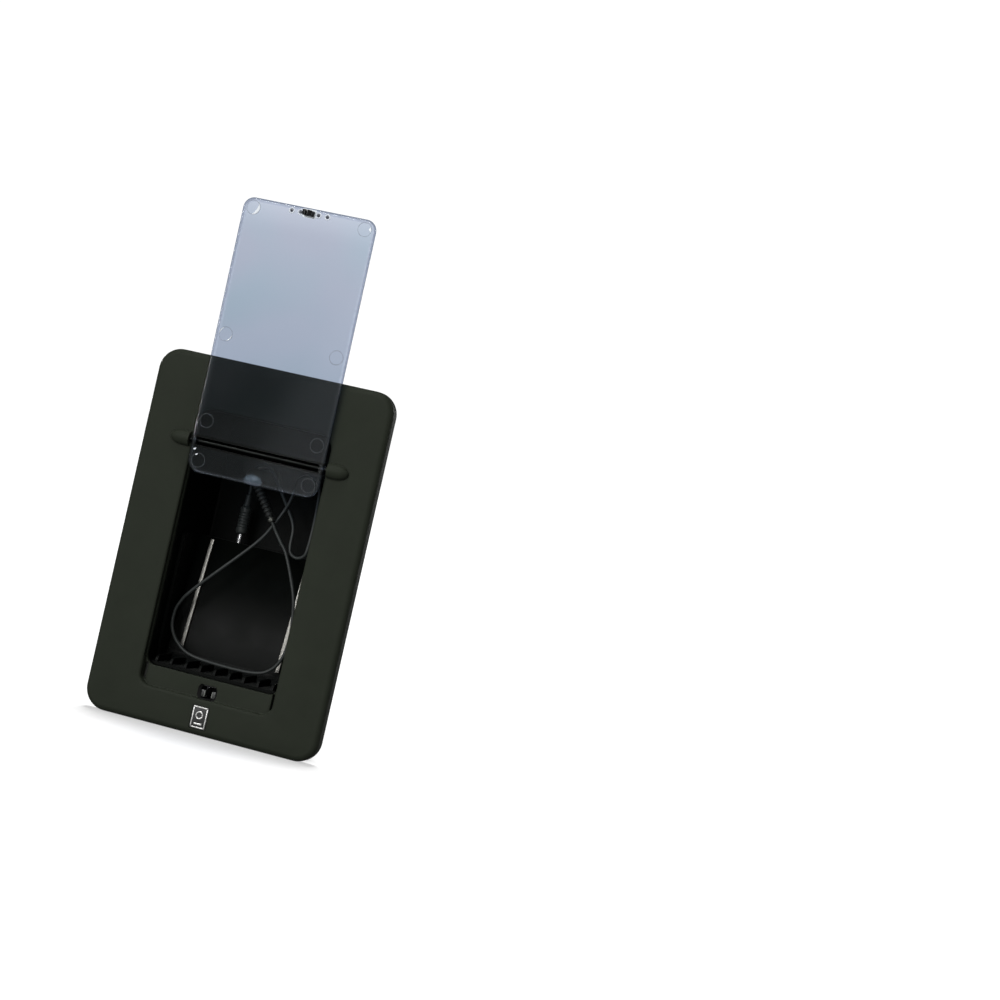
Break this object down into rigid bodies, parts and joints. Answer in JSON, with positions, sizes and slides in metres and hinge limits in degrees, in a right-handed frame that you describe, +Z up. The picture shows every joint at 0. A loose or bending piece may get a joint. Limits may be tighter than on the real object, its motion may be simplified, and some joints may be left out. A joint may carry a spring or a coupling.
{
  "type": "flush-mount media player enclosure",
  "caption": "Flush-mount wall enclosure for a portable media player: rounded bezel, deep tub with a leaning cradle, captive audio lead, and a smoked flip door with press tab and snap latch.",
  "frame": {"origin": "middle of the bezel's back face, the plane that seats on the panel", "axes": "+Z up the bezel's long side, towards the hinge; +Y back into the panel, along the tub; the face looks along -Y"},
  "size_m": [0.133, 0.0836, 0.2827],
  "materials": {
    "bezel_plastic": "matte charcoal, fine moulded texture",
    "tub_plastic": "satin black moulded plastic",
    "smoked_clear": "polished smoked clear polycarbonate",
    "latch_black": "satin black nylon",
    "jaw_acetal": "natural grey acetal",
    "steel": "zinc-plated steel",
    "black_steel": "black-oxide steel rod",
    "polished": "polished stainless strip",
    "badge_silver": "silver-faced aluminium plate",
    "rubber": "matte black rubber",
    "lead_jacket": "dark satin PVC lead jacket"
  },
  "bodies": {
    "enclosure": {"bezel": "bezel_plastic", "badge": "badge_silver", "panel_gasket": "rubber", "tub": "tub_plastic", "tub_screw_1": "steel", "tub_screw_2": "steel", "tub_screw_3": "steel", "tub_screw_4": "steel", "tub_screw_5": "steel", "tub_screw_6": "steel", "hinge_rod": "black_steel", "hinge_keeper_left": "tub_plastic", "hinge_keeper_right": "tub_plastic", "latch_cage": "latch_black", "latch_screw_1": "steel", "latch_screw_2": "steel", "latch_pin_left": "steel", "latch_pin_right": "steel", "latch_spring_left": "steel", "latch_spring_right": "steel", "player_cradle": "tub_plastic", "cradle_screw_1": "steel", "cradle_screw_2": "steel", "cradle_rail_left": "polished", "cradle_rail_right": "polished", "lead_gland": "tub_plastic", "gland_nut": "tub_plastic", "output_socket": "steel", "lead_strain_relief": "rubber", "lead_ferrule": "badge_silver", "audio_lead": "lead_jacket", "lead_plug": "lead_jacket", "plug_contact": "steel", "lead_hook": "tub_plastic", "hook_screw": "steel", "mount_stud_1": "steel", "mount_stud_2": "steel", "mount_stud_3": "steel", "mount_stud_4": "steel", "mount_washer_1": "steel", "mount_washer_2": "steel", "mount_washer_3": "steel", "mount_washer_4": "steel", "mount_nut_1": "steel", "mount_nut_2": "steel", "mount_nut_3": "steel", "mount_nut_4": "steel"},
    "door": {"door_panel": "smoked_clear", "latch_hook": "latch_black"},
    "jaw_left": {"latch_jaw_left": "jaw_acetal"},
    "jaw_right": {"latch_jaw_right": "jaw_acetal"}
  },
  "joints": [
    {"name": "door_hinge", "type": "hinge", "parent": "enclosure", "child": "door", "pos_m": [0, -0.008, 0.0528], "axis": [1, 0, 0], "range_deg": [0, 178.8]},
    {"name": "latch_jaw_left_pivot", "type": "hinge", "parent": "enclosure", "child": "jaw_left", "pos_m": [-0.0043, 0.0068, -0.0766], "axis": [0, 0, -1], "range_deg": [0, 7], "stiffness_Nm_per_rad": 0.3},
    {"name": "latch_jaw_right_pivot", "type": "hinge", "parent": "enclosure", "child": "jaw_right", "pos_m": [0.0043, 0.0068, -0.0766], "axis": [0, 0, 1], "range_deg": [0, 7], "stiffness_Nm_per_rad": 0.3}
  ]
}
